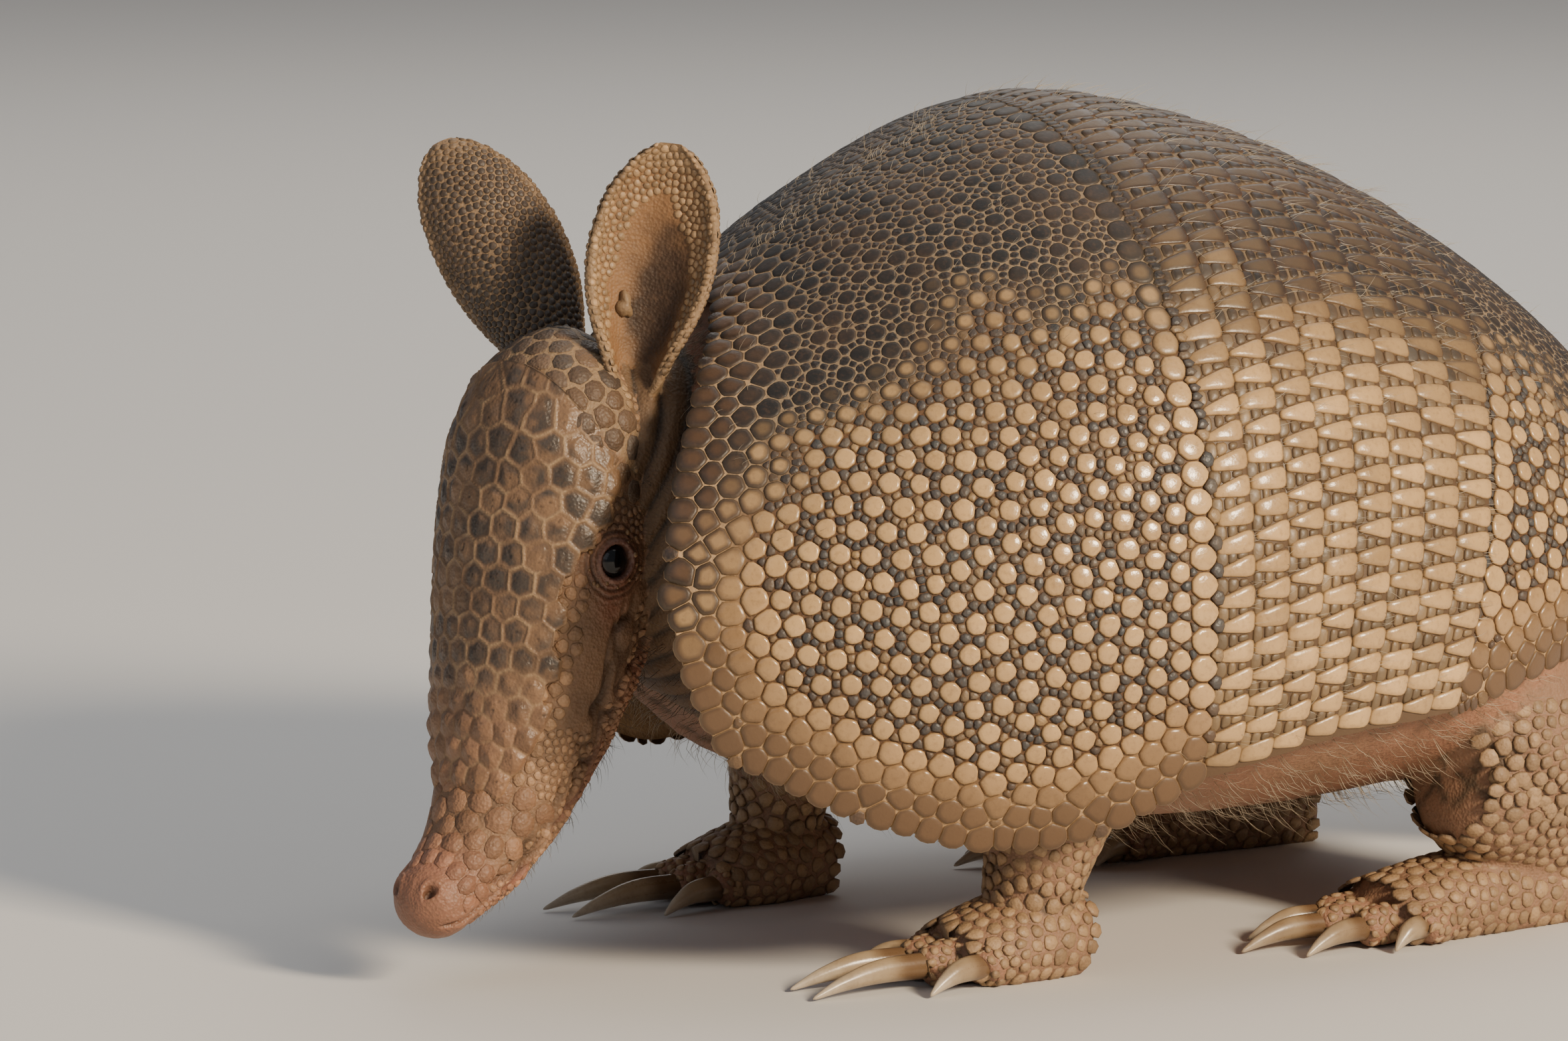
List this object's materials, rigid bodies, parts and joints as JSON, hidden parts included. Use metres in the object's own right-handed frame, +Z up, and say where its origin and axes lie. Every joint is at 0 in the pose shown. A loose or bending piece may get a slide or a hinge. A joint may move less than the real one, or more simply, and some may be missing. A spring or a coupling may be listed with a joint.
{
  "type": "nine-banded armadillo",
  "caption": "Standing armadillo with an arched, banded shell, its head hung low to the ground and its tail laid behind it.",
  "frame": {"origin": "on the floor under the middle of the whole animal, from nose to tail tip", "axes": "+Z up; the animal faces -Y; its left side is +X"},
  "size_m": [0.1728, 0.5347, 0.1629],
  "materials": {
    "scutes": "horny scutes, cream to charcoal, dull gloss",
    "head_scutes": "flat polygonal horny scutes, dark with tan seams",
    "skin": "wrinkled scaly skin, brown to pink",
    "claw": "smooth horn",
    "eye": "wet black"
  },
  "bodies": {
    "root": {"trunk": "skin", "shoulder_shield": "scutes", "band_1": "scutes", "band_2": "scutes", "band_3": "scutes", "band_4": "scutes", "band_5": "scutes", "band_6": "scutes", "band_7": "scutes", "band_8": "scutes", "pelvic_shield": "scutes", "ear_left": "skin", "eye_left": "eye", "ear_right": "skin", "eye_right": "eye", "head": "skin", "lower_jaw": "skin", "head_shield": "head_scutes", "neck": "skin", "foreleg_left": "skin", "forefoot_left": "skin", "foreclaw_left_1": "claw", "foreclaw_left_2": "claw", "foreclaw_left_3": "claw", "foreclaw_left_4": "claw", "hindleg_left": "skin", "hindfoot_left": "skin", "hindclaw_left_1": "claw", "hindclaw_left_2": "claw", "hindclaw_left_3": "claw", "hindclaw_left_4": "claw", "hindclaw_left_5": "claw", "foreleg_right": "skin", "forefoot_right": "skin", "foreclaw_right_1": "claw", "foreclaw_right_2": "claw", "foreclaw_right_3": "claw", "foreclaw_right_4": "claw", "hindleg_right": "skin", "hindfoot_right": "skin", "hindclaw_right_1": "claw", "hindclaw_right_2": "claw", "hindclaw_right_3": "claw", "hindclaw_right_4": "claw", "hindclaw_right_5": "claw", "tail_1": "skin", "tail_2": "skin", "tail_3": "skin", "tail_4": "skin", "tail_5": "skin"}
  },
  "joints": []
}
